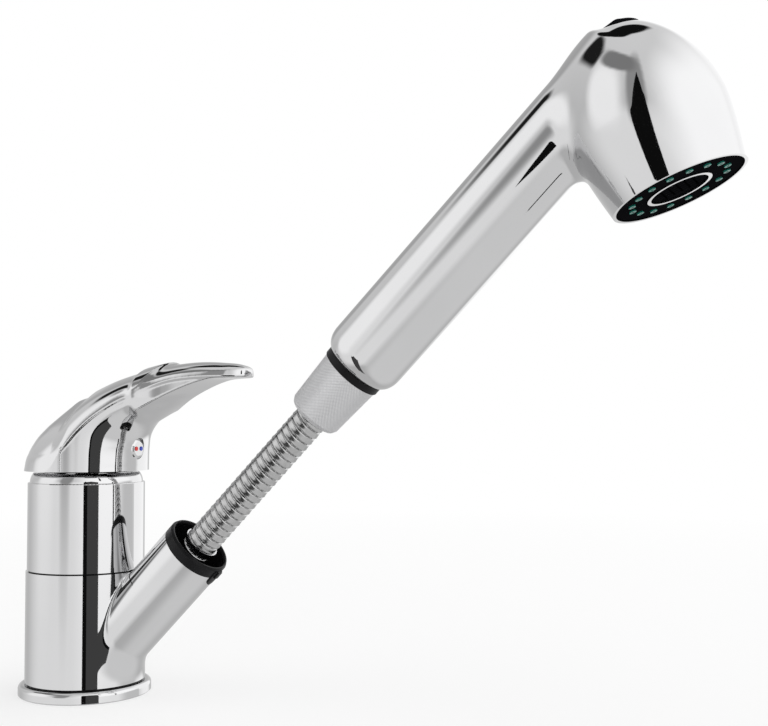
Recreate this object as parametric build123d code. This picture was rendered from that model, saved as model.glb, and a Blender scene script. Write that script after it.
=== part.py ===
"""Single-lever kitchen mixer with a pull-out spray, modelled with the spray drawn out of its spout.

Millimetres. The origin is the centre of the underside on the worktop, +Z up, +X along the spout.
"""
import os
from math import cos, radians, sin, tan

from build123d import *

# Driving dimensions: body and spout
body_radius = 25.0
sleeve_radius = 25.5
flange_radius = 28.2
flange_height = 5.0
seam_height = 53.2
body_top = 91.0
spout_angle = 45.0
spout_axis_height = 7.2
tube_wall = 1.15
mouth_distance = 78.0
core_radius = 21.7
core_wall = 2.2
sleeve_bore_clearance = 0.4
swivel_half_range = 60.0

# Driving dimensions: collar in the spout mouth
collar_lip = 5.0
collar_spigot = 20.0
collar_wall = 0.3
tongue_width = 5.0
tongue_length = 4.0

# Driving dimensions: cartridge and its nut
chamber_radius = 17.6
chamber_floor = 62.0
chamber_depth = 22.0
port_face = 47.0
port_offset = 11.0
port_tap_radius = 4.5
port_tap_length = 10.0
port_radius = 3.2
stud_tap_radius = 2.5
stud_boss_radius = 4.1
stud_boss_height = 4.4
stud_circle_radius = 16.2
stud_angle = 40.0
spindle_side = 8.0
spindle_ball = 2.0
spindle_neck = 1.5
pivot_radius = 1.5
dome_ring_height = 4.2

# Driving dimensions: lever
skirt_radius = 26.7
skirt_bottom = 96.0
skirt_wall = 1.5
lever_reach = 83.0
lever_height = 46.3
plug_radius = 4.5
plug_rise = 9.5

# Driving dimensions: hose
hose_radius = 7.0
hose_groove = 0.7
hose_wall = 0.6
hose_pitch = 3.4
hose_start = 20.0
liner_radius = 5.6
liner_wall = 1.5
guide_ring_radius = 7.6

# Driving dimensions: handset
nut_distance = 158.0
nut_length = 24.5
nut_small_radius = 11.2
nut_large_radius = 12.4
end_ring_length = 3.0
end_ring_radius = 12.9
handle_radius = 16.2
handle_wall = 2.0
handle_end_radius = 14.0
handle_end_round = 8.0
head_distance = 338.0
head_angle = 112.5
head_pivot_height = 51.5
head_radius = 29.5
head_widest = 26.0
head_height = 65.8
face_radius = 25.4
head_wall = 2.0
rim_wall = 1.2
neck_fillet = 7.0
waterway_radius = 7.5
waterway_bell = 10.0
waterway_wall = 2.2
connector_flange = 5.0
connector_radius = 12.7

# Driving dimensions: diverter and its button on top of the head
valve_low = 9.0
valve_depth = 12.5
valve_radius = 15.0
spool_radius = 4.2
button_half_length = 15.0
button_half_width = 8.0
button_shift = -3.0
button_seat = 3.6
button_proud = 1.3
button_wall = 1.8
button_clearance = 0.4

# Clearances and small sections
fit = 0.1
running = 0.05
gap = 0.3
o_ring = 0.9

# Derived places
core_bore = core_radius - core_wall
sleeve_bore = core_radius + sleeve_bore_clearance
tube_bore = nut_large_radius + gap + collar_wall + fit
tube_radius = tube_bore + tube_wall
plug_height = skirt_bottom + plug_rise
seam_gap = 0.6
sleeve_bottom = flange_height + 0.8
sleeve_top = seam_height - seam_gap / 2
shoulder = seam_height + seam_gap / 2
chamber_top = chamber_floor + chamber_depth
pivot_height = chamber_top
nut_face = nut_distance + nut_length
ring_face = nut_face + end_ring_length
neck_radius = chamber_radius - 6.4
valve_high = head_height - valve_depth
button_low = valve_high + button_seat
spout = Plane((0, 0, spout_axis_height),
              x_dir=(-sin(radians(spout_angle)), 0, cos(radians(spout_angle))),
              z_dir=(cos(radians(spout_angle)), 0, sin(radians(spout_angle))))
head_up = Vector(cos(radians(head_angle)), 0, sin(radians(head_angle)))
head_pivot = spout.from_local_coords(Vector(0, 0, head_distance))
head = Plane(head_pivot - head_up * head_pivot_height, x_dir=(head_up.Z, 0, -head_up.X), z_dir=head_up)


def save(name, shape):
    """Write one node's file."""
    export_step(shape, f"parts/{name}.step")


def disc(radius, low, high):
    """A solid round from one height to another."""
    return Pos(0, 0, low) * Cylinder(radius, high - low, align=(Align.CENTER, Align.CENTER, Align.MIN))


def ring(outer, inner, low, high):
    """A plain ring between two heights."""
    return disc(outer, low, high) - disc(inner, low - 1, high + 1)


def turned(points):
    """A closed outline of (radius, height) points turned about Z."""
    outline = Polyline(*[(r, 0, z) for r, z in points], close=True)
    return revolve(make_face(outline), Axis.Z)


def o_ring_at(radius, height):
    """An O-ring whose centre line has this radius."""
    return Pos(0, 0, height) * Torus(radius, o_ring)


def cross_bore(radius, start, length, direction, position):
    """A round from a position along a direction."""
    place = Plane(position, z_dir=direction)
    return place * disc(radius, start, start + length)


# Fixed body

def window():
    """The opening in the core that lets the hose in from the spout at every swivel angle."""
    reach = (guide_ring_radius + 0.4) / cos(radians(spout_angle))
    middle = spout_axis_height + core_radius * tan(radians(spout_angle))
    half = swivel_half_range + 28
    far = 2 * core_radius
    corners = [(far * cos(radians(a)), far * sin(radians(a))) for a in (-half, -half / 2, 0, half / 2, half)]
    wedge = make_face(Polyline((0, 0), *corners, close=True))
    low = middle - core_wall - reach
    return Pos(0, 0, low) * extrude(wedge, core_wall + 2 * reach)


def stud_places():
    """Centres of the two stud holes, in front of the hose."""
    return [(stud_circle_radius * cos(radians(a)), stud_circle_radius * sin(radians(a)))
            for a in (-stud_angle, stud_angle)]


def port_places():
    """Centres of the hot inlet, the cold inlet and the mixed outlet."""
    return [(0, -port_offset), (0, port_offset), (-port_offset, 0)]


def make_main_body():
    """The chromed casting: cartridge chamber above, swivel core with the hose window below."""
    foot = flange_height / 2
    nut_bore = chamber_radius + 2
    upper = disc(body_radius, shoulder, body_top)
    core = disc(core_radius, foot, shoulder)
    body = upper + core
    body = body - disc(core_bore, foot - 1, port_face)
    body = body - window()
    for x, y in stud_places():
        boss = Pos(x, y, 0) * disc(stud_boss_radius, foot, foot + stud_boss_height)
        body = body + (boss & disc(core_radius, 0, foot + stud_boss_height))
    for x, y in stud_places():
        body = body - Pos(x, y, 0) * disc(stud_tap_radius, foot - 1, foot + stud_boss_height + 1)
    body = body - disc(chamber_radius, chamber_floor, chamber_top + 1)
    body = body - disc(nut_bore, chamber_top, body_top + 1)
    for x, y in port_places():
        body = body - Pos(x, y, 0) * disc(port_tap_radius, port_face - 1, port_face + port_tap_length)
        body = body - Pos(x, y, 0) * disc(port_radius, port_face, chamber_floor + 1)
    groove = ring(core_radius + 1, core_radius - o_ring, 0, 2 * o_ring)
    for height in o_ring_heights():
        body = body - Pos(0, 0, height - o_ring) * groove
    rim = body.edges().filter_by(GeomType.CIRCLE).filter_by(
        lambda e: abs(e.radius - body_radius) < 0.01 and abs(e.center().Z - body_top) < 0.01)
    return fillet(rim, 0.4)


def o_ring_heights():
    """Two friction rings, one just above the flange and one just under the shoulder."""
    return [flange_height + 3.5, shoulder - 3.5]


def make_base():
    """Flange, its gasket, and the rings that the sleeve turns on."""
    gasket_depth = 1.2
    foot = flange_height / 2
    bead = 1.8
    outline = [(core_bore, 0.2), (flange_radius - 0.4, 0.2), (flange_radius, 0.6),
               (flange_radius, flange_height - bead)]
    arc_end = (flange_radius - bead, flange_height)
    turn = bead * (1 - cos(radians(45)))
    lines = Polyline(*[(r, 0, z) for r, z in outline])
    bead_arc = ThreePointArc((flange_radius, 0, flange_height - bead),
                             (flange_radius - turn, 0, flange_height - turn),
                             (arc_end[0], 0, arc_end[1]))
    rest = Polyline((arc_end[0], 0, arc_end[1]), (core_radius + running, 0, flange_height),
                    (core_radius + running, 0, foot), (core_bore, 0, foot), (core_bore, 0, 0.2))
    flange = revolve(make_face(lines + bead_arc + rest), Axis.Z)
    seat = ring(flange_radius - 2, core_bore + 1.5, -1, gasket_depth)
    save("base_flange", flange - seat)
    save("base_gasket", ring(flange_radius - 2 - fit, core_bore + 1.5 + fit, 0, gasket_depth))
    save("lower_slip_ring", ring(sleeve_radius - 1.2, core_radius + fit, flange_height, sleeve_bottom - fit))
    save("upper_slip_ring", ring(sleeve_radius - 1.2, core_radius + fit, sleeve_top + fit, shoulder))
    rings = [o_ring_at(core_radius - o_ring + 0.3 + o_ring * 0.5, z) for z in o_ring_heights()]
    squeezed = ring(core_radius + 0.25, core_radius - o_ring, 0, body_top)
    save("friction_o_rings", Compound(children=[r & squeezed for r in rings]))


def make_sleeve():
    """The swivelling lower body with the slanting tube that the spray docks in."""
    sleeve = disc(sleeve_radius, sleeve_bottom, sleeve_top)
    tube = spout * disc(tube_radius, 0, mouth_distance)
    above = disc(sleeve_radius + 0.2, sleeve_top, sleeve_top + 60)
    below = Pos(0, 0, sleeve_bottom) * Box(200, 200, 60, align=(Align.CENTER, Align.CENTER, Align.MAX))
    shape = (tube - above - below) + sleeve
    bore = disc(sleeve_bore, sleeve_bottom - 1, sleeve_top + 1)
    tube_hole = spout * disc(tube_bore, 0, mouth_distance + 1)
    notch = spout * Pos(-tube_radius, 0, mouth_distance - tongue_length) * slot_block(tongue_width + 2 * fit)
    return shape - bore - tube_hole - notch


def slot_block(width):
    """A round-ended block for the collar's tongue, its round end at the origin, running up Z."""
    block = Pos(0, 0, width / 2) * Box(8, width, 40, align=(Align.CENTER, Align.CENTER, Align.MIN))
    end = Pos(0, 0, width / 2) * Rot(0, 90, 0) * Cylinder(width / 2, 8)
    return block + end


def make_collar():
    """The black bush in the mouth: a lip outside, a tapering spigot with a hose guide inside, a tongue."""
    outer = tube_bore - fit
    rim = mouth_distance + collar_lip
    guide = outer - collar_wall
    bottom = nut_small_radius + gap
    low = mouth_distance - collar_spigot
    floor = low - 2.0
    body = turned([(guide_ring_radius + gap, floor), (outer - 1.0, floor), (outer, floor + 1.0),
                   (outer, mouth_distance), (tube_radius, mouth_distance),
                   (tube_radius, rim - 1.0), (tube_radius - 0.6, rim),
                   (guide + 0.4, rim), (guide, rim - 1.0), (bottom, low), (guide_ring_radius + gap, low)])
    tongue = Pos(-tube_radius + 0.4, 0, mouth_distance - tongue_length + fit) * slot_block(tongue_width)
    tongue = tongue & ring(tube_radius + 0.5, outer - 0.2, low, rim - 1.5)
    rib = Pos(-tube_radius - 0.3, 0, mouth_distance + 0.4) * Box(1.6, 2.4, collar_lip - 1.6,
                                                               align=(Align.CENTER, Align.CENTER, Align.MIN))
    return spout * (body + tongue + rib)


# Cartridge

def make_cartridge():
    """The sealed mixing cartridge: seals, housing, ceramic discs, turning guide, and the nut over it."""
    floor = chamber_floor
    shell = chamber_radius - gap
    wall = 2.8
    base_plate = 2.0
    disc_radius = shell - wall - fit
    fixed_low = floor + 1.0 + base_plate
    fixed_high = fixed_low + 3.5
    moving_high = fixed_high + 3.5
    carrier_high = moving_high + 2.6
    guide_high = body_top + 1.4
    shift = 2.8

    seals = [Pos(x, y, floor + o_ring) * Torus(port_radius + 1.1, o_ring) for x, y in port_places()]
    save("cartridge_seals", Compound(children=seals))

    collar = neck_radius + 1.8
    housing = turned([(0, floor + 2 * o_ring), (shell, floor + 2 * o_ring), (shell, chamber_top - 0.2),
                      (collar, chamber_top - 0.2), (collar, body_top - 0.4), (0, body_top - 0.4)])
    housing = housing - disc(disc_radius + fit, fixed_low, chamber_top - 3)
    housing = housing - disc(neck_radius, chamber_top - 4, body_top + 1)
    for x, y in port_places():
        housing = housing - Pos(x, y, 0) * disc(port_radius, floor, fixed_low + 1)
    save("cartridge_housing", housing)

    fixed = disc(disc_radius, fixed_low, fixed_high)
    for x, y in port_places():
        fixed = fixed - Pos(x, y, 0) * disc(port_radius - 0.3, fixed_low - 1, fixed_high + 1)
    save("fixed_ceramic_disc", fixed)

    moving_radius = disc_radius - shift - 0.6
    pocket = Pos(-port_offset * 0.25, 0, fixed_high) * Cylinder(moving_radius * 0.6, 3.0)
    save("moving_ceramic_disc", disc(moving_radius, fixed_high + fit, moving_high) - pocket)
    carrier = disc(moving_radius, moving_high, carrier_high)
    carrier = carrier - disc(spindle_ball + gap, moving_high - 1, carrier_high + 1)
    save("disc_carrier", carrier)

    guide_low = carrier_high + fit
    guide = disc(disc_radius, guide_low, chamber_top - 3 - fit)
    guide = guide + disc(neck_radius - fit, guide_low, guide_high)
    slot = Pos(0, 0, (carrier_high + guide_high) / 2) * Box(
        2 * (neck_radius - 2.2), spindle_side + 2 * gap, guide_high)
    slot = slot & disc(neck_radius - 1.2, carrier_high - 1, guide_high + 1)
    pin_hole = Pos(0, 0, pivot_height) * Rot(90, 0, 0) * Cylinder(pivot_radius, 2 * neck_radius - 1.0)
    save("spindle_guide", guide - slot - pin_hole)
    pin = Cylinder(pivot_radius - running, 2 * neck_radius - 1.4)
    save("lever_pivot_pin", Pos(0, 0, pivot_height) * Rot(90, 0, 0) * pin)

    nut_bore = chamber_radius + 2
    nut_inner = collar + gap
    nut = ring(nut_bore - fit, nut_inner, chamber_top, body_top + dome_ring_height - 1.2)
    hexagon = extrude(Pos(0, 0, body_top + 0.4) * RegularPolygon(nut_bore - fit, 6), dome_ring_height)
    flats = disc(nut_bore - fit, chamber_top, body_top + 0.4)
    flats = flats + (hexagon & disc(nut_bore, body_top, body_top + 10))
    save("cartridge_nut", nut & flats)
    return carrier_high


def make_dome_ring():
    """The convex chrome ring that covers the nut, under the lever."""
    low = body_top
    high = body_top + dome_ring_height
    outer = body_radius - 0.9
    top = body_radius - 2.4
    bulge = ThreePointArc((outer, 0, low), (outer - 0.35, 0, (low + high) / 2), (top, 0, high))
    inner = chamber_radius + 2 + gap
    lip = inner - 4.0
    rest = Polyline((top, 0, high), (lip, 0, high), (lip, 0, high - 0.8), (inner, 0, high - 0.8),
                    (inner, 0, low), (outer, 0, low))
    return revolve(make_face(bulge + rest), Axis.Z)


# Lever

def lever_cap():
    """The leaning dome over the cartridge: level circles that close towards the top and move forward."""
    levels = [(0.0, 1.0, 0.0), (0.097, 0.993, 0.004), (0.216, 0.948, 0.052), (0.346, 0.869, 0.12),
              (0.475, 0.712, 0.187), (0.583, 0.487, 0.24), (0.639, 0.262, 0.29)]
    wires = []
    for up, share, shift in levels:
        place = Pos(skirt_radius * shift, 0, skirt_bottom + lever_height * up)
        wires.append(place * Circle(skirt_radius * share).wire())
    return Solid.make_loft(wires)


def blade_section(along, side, low, edge, crown):
    """A cross-section of the blade in shares of the lever's sizes: flat below, upright edges, arched top."""
    x = lever_reach * along
    y = skirt_radius * side
    under, rim, top = [skirt_bottom + lever_height * share for share in (low, edge, crown)]
    outline = Polyline((x, -y, rim), (x, -y, under), (x, y, under), (x, y, rim))
    return make_face(outline + ThreePointArc((x, y, rim), (x, 0, top), (x, -y, rim))).wire()


def lever_blade():
    """The blade sweeping forward and up from the cap to its rounded tip."""
    stations = [(-0.048, 0.637, 0.173, 0.259, 0.583), (0.12, 0.843, 0.216, 0.367, 0.76),
                (0.289, 0.757, 0.378, 0.587, 0.873), (0.422, 0.637, 0.551, 0.704, 0.935),
                (0.554, 0.539, 0.674, 0.79, 0.981), (0.723, 0.464, 0.786, 0.847, 1.0),
                (0.867, 0.382, 0.829, 0.868, 0.983), (0.952, 0.277, 0.84, 0.868, 0.95),
                (0.993, 0.135, 0.855, 0.873, 0.914)]
    return Solid.make_loft([blade_section(*station) for station in stations])


def make_lever():
    """The lever: cap and blade in one casting, hollow underneath, with the socket for the spindle."""
    shape = lever_cap() + lever_blade()
    inner = skirt_radius - skirt_wall
    low = skirt_bottom
    cavity = turned([(0, low - 1), (inner, low - 1), (inner, low + 3.5), (inner - 5, low + 9.5),
                     (inner - 12, low + 14), (0, low + 14)])
    boss = disc(9.0, low + 2.2, low + 16)
    socket = Pos(0, 0, low) * Box(spindle_side + 2 * fit, spindle_side + 2 * fit, 2 * (plug_rise + 3.5))
    plug_seat = cross_bore(plug_radius + running, -2.8, 6, (1, 0, 0), (skirt_radius, 0, plug_height))
    key_hole = cross_bore(2.9, 9.5, skirt_radius - 10, (1, 0, 0), (0, 0, plug_height))
    thread = cross_bore(2.5, 3, 8, (1, 0, 0), (0, 0, plug_height))
    return (shape - cavity) + (boss - disc(30, low + 15, low + 20)) - socket - plug_seat - key_hole - thread


def make_lever_fittings(carrier_high):
    """Spindle, grub screw, and the index plug with its hot and cold marks."""
    ball = spindle_ball
    foot = carrier_high - 0.5
    half = spindle_side / 2
    stem = Pos(0, 0, foot + 3.5) * Box(2 * half, 2 * half, plug_height + 3.0 - foot - 3.5,
                                       align=(Align.CENTER, Align.CENTER, Align.MIN))
    neck = disc(spindle_neck, foot, foot + 4)
    spindle = stem + neck + Pos(0, 0, foot) * Sphere(ball)
    spindle = spindle & disc(half * 1.25, foot - ball, skirt_bottom + 20)
    spindle = spindle - Pos(0, 0, pivot_height) * Rot(90, 0, 0) * Cylinder(pivot_radius + running, 30)
    save("spindle", spindle)
    screw = cross_bore(2.5 - running, half + 0.05, 6.5, (1, 0, 0), (0, 0, plug_height))
    hexagon = Plane((half + 8, 0, plug_height), z_dir=(-1, 0, 0)) * extrude(RegularPolygon(1.4, 6), 4)
    save("lever_grub_screw", screw - hexagon)
    face = skirt_radius - 0.2
    seat = skirt_radius - 2.8
    button = Plane((0, 0, plug_height), z_dir=(1, 0, 0)) * turned(
        [(0, seat), (plug_radius, seat), (plug_radius, face), (plug_radius - 0.5, face + 0.4),
         (plug_radius - 1.4, face + 0.8), (0, face + 0.8)])
    marks = {"hot_mark": -1.7, "cold_mark": 1.7}
    for name, y in marks.items():
        pit = cross_bore(0.95, face + 0.3, 3, (1, 0, 0), (0, y, plug_height))
        dot = cross_bore(0.95 - 0.02, face + 0.3, 0.75, (1, 0, 0), (0, y, plug_height))
        button = button - pit
        save(name, dot)
    save("index_plug", button)


# Hose

def make_hose():
    """The interlocked steel hose as a stack of ribs, each a ruled loft through four circles, and its bore."""
    length = nut_distance + 9 - hose_start
    count = int(length / hose_pitch)
    pitch = length / count
    root = hose_radius - hose_groove
    stations = [(0.0, root), (0.18, hose_radius), (0.72, hose_radius), (0.9, root)]
    wires = []
    for index in range(count):
        for share, radius in stations:
            wires.append(Pos(0, 0, hose_start + (index + share) * pitch) * Circle(radius).wire())
    wires.append(Pos(0, 0, hose_start + length) * Circle(root).wire())
    ribs = Solid.make_loft(wires, ruled=True)
    bore = root - hose_wall
    return spout * (ribs - disc(bore, hose_start - 1, hose_start + length + 1))


def make_hose_fittings():
    """Inner hose, the ring at the mouth, the crimped ferrule and the flanged insert that turns in the nut."""
    end = nut_distance + 9
    save("hose_liner", spout * ring(liner_radius, liner_radius - liner_wall, hose_start, end))
    ring_low = mouth_distance + collar_lip + 0.2
    save("hose_guide_ring", spout * ring(guide_ring_radius, hose_radius + 0.02, ring_low, ring_low + 1.0))
    ferrule_outer = hose_radius + 1.3
    ferrule_low = nut_distance + 3.2
    ferrule = turned([(hose_radius + 0.02, ferrule_low), (ferrule_outer - 0.6, ferrule_low),
                      (ferrule_outer, ferrule_low + 0.6), (ferrule_outer, end + 0.8),
                      (liner_radius - liner_wall + 0.1, end + 0.8), (liner_radius - liner_wall + 0.1, end),
                      (hose_radius + 0.02, end)])
    save("hose_ferrule", spout * ferrule)
    tail = liner_radius - liner_wall
    insert = turned([(tail - 1.0, nut_distance), (tail - 0.01, nut_distance), (tail - 0.01, end + 0.8),
                     (ferrule_outer + 0.3, end + 0.8), (ferrule_outer + 0.3, end + 3.0),
                     (tail - 1.0, end + 3.0)])
    save("hose_insert", spout * insert)
    return end + 3.0, ferrule_outer + 0.3


# Handset

def make_handset_joint(insert_face, insert_radius):
    """Cone nut, its washer, the black end ring and the threaded connector inside the handle."""
    thread_radius = insert_radius + 0.9
    washer = 1.5
    lip = nut_distance + 3.0
    lip_bore = hose_radius + 0.35
    thread_bore = thread_radius + 0.05
    ferrule_bore = hose_radius + 1.3 + gap
    nut = turned([(lip_bore, nut_distance + 0.6), (lip_bore + 0.6, nut_distance),
                  (nut_small_radius - 2.2, nut_distance), (nut_small_radius - 0.8, nut_distance + 0.7),
                  (nut_small_radius, nut_distance + 2.2), (nut_large_radius, nut_face),
                  (thread_bore, nut_face), (thread_bore, lip + 1.5), (ferrule_bore, lip + 1.5),
                  (ferrule_bore, lip), (lip_bore, lip)])
    save("hose_nut", spout * nut)
    face = insert_face + fit
    save("swivel_washer", spout * ring(insert_radius, 4.0, face, face + washer))
    save("handle_end_ring", spout * ring(end_ring_radius, thread_radius + 0.1, nut_face, ring_face))
    snout_end = ring_face + 26
    snout = waterway_bell - waterway_wall - running
    bore = snout - 2.4
    shoulder_face = ring_face + connector_flange
    way = 3.6
    connector = turned([(way, face + washer), (thread_radius, face + washer),
                        (thread_radius, ring_face + 1.0), (connector_radius, ring_face + 1.0),
                        (connector_radius, shoulder_face), (snout, shoulder_face), (snout, snout_end),
                        (bore, snout_end), (bore, ring_face + 8.0), (way, ring_face + 8.0)])
    ring_wire = 0.6
    places = [shoulder_face + 4, shoulder_face + 10]
    for z in places:
        connector = connector - ring(snout + 1, snout - 2 * ring_wire, z, z + 2 * ring_wire)
    save("handle_connector", spout * connector)
    seals = [Pos(0, 0, z + ring_wire) * Torus(snout - ring_wire, ring_wire) for z in places]
    save("waterway_o_rings", spout * Compound(children=seals))
    valve = turned([(2.2, ring_face + 8.0), (bore - fit, ring_face + 8.0), (bore - fit, snout_end - 0.5),
                    (bore - 1.5, snout_end - 0.5), (bore - 1.5, ring_face + 14), (2.2, ring_face + 14)])
    save("check_valve", spout * valve)
    return shoulder_face


def head_outline(inset):
    """Half the head's outline moved in by the wall: a swelling lower curve and an elliptical crown."""
    top = head_height - inset
    lower_steps = 5
    upper_steps = 8
    points = []
    for index in range(lower_steps):
        share = index / lower_steps
        swell = (head_radius - face_radius) * (1 - (1 - share) ** 1.4)
        points.append((face_radius + swell - inset, head_widest * share))
    for index in range(upper_steps + 1):
        turn = radians(90 * index / upper_steps)
        points.append(((head_radius - inset) * cos(turn), head_widest + (top - head_widest) * sin(turn)))
    curve = Spline(*points, tangents=[(0.3, 1), (-1, 0)])
    return make_face(curve + Polyline((0, top), (0, 0), points[0]))


def head_form(inset):
    """The head's round form, turned about its own axis."""
    return head * revolve(Plane.XZ * head_outline(inset), Axis.Z)


def handle_form():
    """The handle's outer form along the spout axis, rounded at its lower end."""
    end = head_distance
    full = ring_face + handle_end_round
    outline = Polyline((0, 0, ring_face), (handle_end_radius, 0, ring_face))
    rounding = ThreePointArc((handle_end_radius, 0, ring_face),
                             (handle_radius - 0.45, 0, ring_face + handle_end_round * 0.42),
                             (handle_radius, 0, full))
    rest = Polyline((handle_radius, 0, full), (handle_radius, 0, end), (0, 0, end), (0, 0, ring_face))
    return spout * revolve(make_face(outline + rounding + rest), Axis.Z)


def button_plan(clearance):
    """A long round-ended block through the top of the head, as wide as the button and its clearance."""
    plan = SlotOverall(2 * (button_half_length + clearance), 2 * (button_half_width + clearance))
    return head * Pos(button_shift, 0, button_low) * extrude(plan, 30)


def make_shell():
    """The chromed casing of handle and head in one piece."""
    skin = handle_form() + head_form(0)
    joint = [e for e in skin.edges() if is_neck_edge(e)]
    skin = fillet(joint, neck_fillet)
    hollow = spout * disc(handle_radius - handle_wall, ring_face + connector_flange, head_distance)
    hollow = hollow + head_form(head_wall)
    mouth = head * disc(face_radius - rim_wall, -1, 4)
    entry = spout * disc(connector_radius + fit, ring_face - 1, ring_face + connector_flange + 1)
    return skin - hollow - mouth - entry - button_plan(button_clearance)


def is_neck_edge(edge):
    """True for the edge where the handle runs into the head."""
    distance = spout.to_local_coords(edge.position_at(0.5)).Z
    return edge.geom_type == GeomType.BSPLINE and head_distance - 80 < distance < head_distance


def make_waterway(start):
    """The plastic pipe in the handle: a bell end over the connector, and ribs that centre it."""
    end = head_distance - 24
    bell = start + 24
    pipe_bore = waterway_radius - waterway_wall
    pipe = turned([(waterway_bell - waterway_wall, start), (waterway_bell, start), (waterway_bell, bell),
                   (waterway_radius, bell + 3), (waterway_radius, end), (pipe_bore, end),
                   (pipe_bore, bell + 3), (waterway_bell - waterway_wall, bell)])
    rib_reach = handle_radius - handle_wall - fit
    for share in (0.1, 0.5, 0.85):
        along = start + (end - start) * share
        hub = (waterway_bell if share < 0.2 else waterway_radius) - 0.5
        pipe = pipe + ring(rib_reach, hub, along, along + 1.6)
    save("waterway_pipe", spout * pipe)
    return end


def make_valve(pipe_end):
    """The diverter: valve body, spool and seals, button on the spool, and its spring."""
    low = valve_low
    high = valve_high
    chamber = ring(valve_radius - 3, spool_radius + 2.2, low + 6, high - 4)
    body = head * (disc(valve_radius, low, high) - chamber)
    arm = spout * disc(waterway_radius + 1.8, pipe_end - 8, head_distance - 12)
    arm = arm - head * disc(60, high, high + 40)
    body = body + (arm - head * chamber)
    way = spout * disc(waterway_radius - waterway_wall, pipe_end - 1, head_distance - 12)
    socket = spout * disc(waterway_radius + running, pipe_end - 9, pipe_end)
    body = body - socket - way - head * disc(spool_radius, low - 1, high + 1)
    for y in (-1, 1):
        body = body - head * Pos(valve_radius - 1.5, y * 6, 0) * disc(1.5, low - 1, low + 8)
    save("diverter_body", body)

    neck = 3.0
    boss = 5.0
    boss_low = high + 5
    spool = disc(spool_radius - running, low + 1, high - 1) + disc(neck, high - 2, head_height - 4)
    waist = ring(spool_radius + 1, spool_radius - 1.6, low + 10, high - 12)
    seal_places = (low + 3, high - 7)
    for cut in [waist] + [ring(spool_radius + 1, spool_radius - 1.3, z, z + 1.4) for z in seal_places]:
        spool = spool - cut
    save("diverter_spool", head * spool)
    seals = [Pos(0, 0, z + 0.7) * Torus(spool_radius - 0.7, 0.6) for z in seal_places]
    save("spool_seals", head * Compound(children=seals))

    button = head_form(-button_proud) & button_plan(0)
    inside = head_form(2.4 - button_proud) & (head * Pos(button_shift, 0, button_low - 1) * extrude(
        SlotOverall(2 * (button_half_length - button_wall), 2 * (button_half_width - button_wall)), 30))
    button = button - inside
    button = button + (head * disc(boss, boss_low, head_height) & head_form(0.3))
    button = button - head * disc(neck, boss_low - 1, head_height - 4)
    grip = head * Pos(button_shift + 0.55 * button_half_length, 0, head_height + button_proud - 1.3) * Box(
        0.7, 2 * button_half_width + 2, 3)
    save("diverter_button", button - grip)
    coil_radius = (boss + button_half_width - button_wall) / 2
    turns = Helix(1.1, 2.2, coil_radius)
    wire = 0.35
    coil = sweep(Plane(turns @ 0, z_dir=turns % 0) * Circle(wire), path=turns, is_frenet=True)
    save("diverter_spring", head * Pos(0, 0, high + wire + 0.02) * coil)


def make_spray_face():
    """Black face plate, the nozzle mat with its ring of nozzles, aerator ring, aerator and face seal."""
    seat = face_radius - rim_wall - fit
    low = 0.6
    plate_high = 4.0
    ring_outer = 12.2
    ring_inner = ring_outer - 1.4
    support = ring(ring_outer + 2.2, ring_outer + fit, plate_high, valve_low)
    plate = ring(seat, ring_outer + fit, low, plate_high) + support
    nozzle_circle = (seat + ring_outer) / 2
    nozzle_count = 16
    nozzle_r = 1.35
    turns = [radians(360 * i / nozzle_count) for i in range(nozzle_count)]
    places = [(nozzle_circle * cos(a), nozzle_circle * sin(a)) for a in turns]
    mat = ring(nozzle_circle + 2.6, nozzle_circle - 2.6, plate_high, plate_high + 1.4)
    for x, y in places:
        plate = plate - Pos(x, y, 0) * disc(nozzle_r + running, -1, plate_high + 1)
        mat = mat + Pos(x, y, 0) * disc(nozzle_r, low - 0.5, plate_high + 0.5)
    for x, y in places:
        mat = mat - Pos(x, y, 0) * disc(0.5, -2, plate_high + 3)
    save("spray_face", head * plate)
    save("nozzle_mat", head * mat)
    save("aerator_ring", head * ring(ring_outer, ring_inner, low - 0.5, valve_low - fit))
    aerator = disc(ring_inner - fit, low + 0.4, valve_low - fit)
    for y in (-6, -3, 0, 3, 6):
        aerator = aerator - Pos(0, y, low + 0.4) * Box(2 * (ring_inner - 3), 0.8, 2.4)
    for x in (-6, -3, 0, 3, 6):
        aerator = aerator - Pos(x, 0, low + 0.4) * Box(0.8, 2 * (ring_inner - 3), 2.4)
    aerator = aerator - disc(spool_radius, 3.6, valve_low)
    save("aerator", head * aerator)
    save("face_seal", head * Pos(0, 0, plate_high + o_ring) * Torus(seat - o_ring - 0.35, o_ring))


os.makedirs("parts", exist_ok=True)
make_base()
save("main_body", make_main_body())
save("spout_sleeve", make_sleeve())
save("spout_collar", make_collar())
carrier_top = make_cartridge()
save("dome_ring", make_dome_ring())
save("lever", make_lever())
make_lever_fittings(carrier_top)
save("hose", make_hose())
insert_end, insert_outer = make_hose_fittings()
pipe_start = make_handset_joint(insert_end, insert_outer)
save("handset_shell", make_shell())
make_valve(make_waterway(pipe_start))
make_spray_face()
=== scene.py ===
"""Looks for a single-lever kitchen mixer whose pull-out spray is drawn out of the slanting spout.

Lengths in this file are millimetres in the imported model's frame; meshes are written in metres.
"""
from math import cos, pi, radians, sin

import bmesh
import bpy
import numpy as np
from mathutils import Matrix, Vector


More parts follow.
